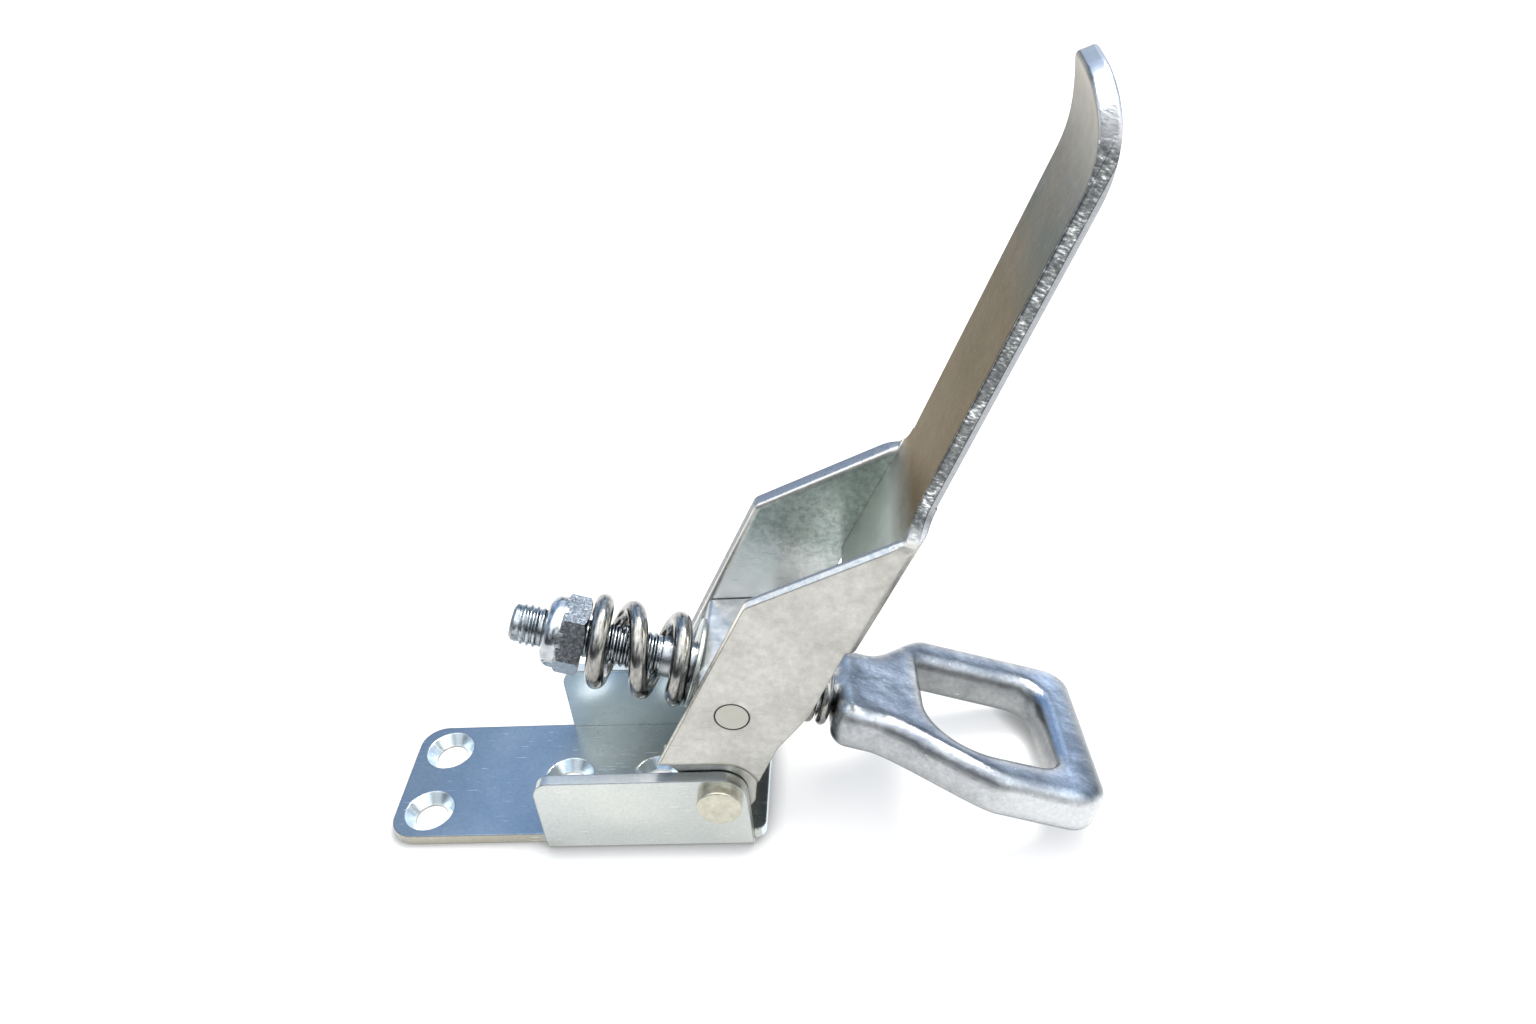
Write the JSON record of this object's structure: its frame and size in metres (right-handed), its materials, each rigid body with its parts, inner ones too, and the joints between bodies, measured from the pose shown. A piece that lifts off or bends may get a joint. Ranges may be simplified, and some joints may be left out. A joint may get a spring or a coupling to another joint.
{
  "type": "over centre toggle latch",
  "caption": "Over centre toggle latch: a long pressed lever on a folded base bracket draws a spring loaded eye bolt through a swivelling trunnion block.",
  "frame": {"origin": "on the base bracket's mounting face, straight below the main pivot's centre", "axes": "+X along the base plate towards the eye, +Y along the pivot pin away from its head, +Z out of the mounting face"},
  "size_m": [0.1789, 0.054, 0.1798],
  "materials": {
    "zinc_sheet": "bright zinc plated rolled sheet",
    "zinc_lever": "bright zinc plated pressed sheet with sheared edges",
    "zinc_pin": "zinc plated, satin faces",
    "zinc_block": "zinc plated machined block",
    "zinc_forged": "bright zinc over a forged skin",
    "zinc_nut": "bright zinc plated",
    "bright_spring": "glossy bright plated wire",
    "nylon": "plain nylon"
  },
  "bodies": {
    "base": {"base_bracket": "zinc_sheet", "main_pivot_pin": "zinc_pin"},
    "lever": {"lever": "zinc_lever"},
    "trunnion": {"trunnion_block": "zinc_block"},
    "spring_seat": {"spring_washer": "zinc_pin", "main_spring": "bright_spring", "rebound_spring": "bright_spring"},
    "eye_bolt": {"eye_bolt": "zinc_forged", "lock_nut": "zinc_nut", "nylon_ring": "nylon"}
  },
  "joints": [
    {"name": "lever_pivot", "type": "hinge", "parent": "base", "child": "lever", "pos_m": [0, 0, 0.017], "axis": [0, 1, 0], "range_deg": [-14, 40]},
    {"name": "trunnion_pivot", "type": "hinge", "parent": "lever", "child": "trunnion", "pos_m": [0.0059, 0, 0.0442], "axis": [0, 1, 0], "range_deg": [-30, 14]},
    {"name": "rod_turn", "type": "hinge", "parent": "trunnion", "child": "spring_seat", "pos_m": [0.0059, 0, 0.0383], "axis": [0.9391, 0, -0.3437], "continuous": true},
    {"name": "rod_slide", "type": "slide", "parent": "spring_seat", "child": "eye_bolt", "axis": [0.9391, 0, -0.3437], "range_m": [-0.004, 0.009], "stiffness_N_per_m": 10000, "deforming": ["main_spring", "rebound_spring"]}
  ]
}
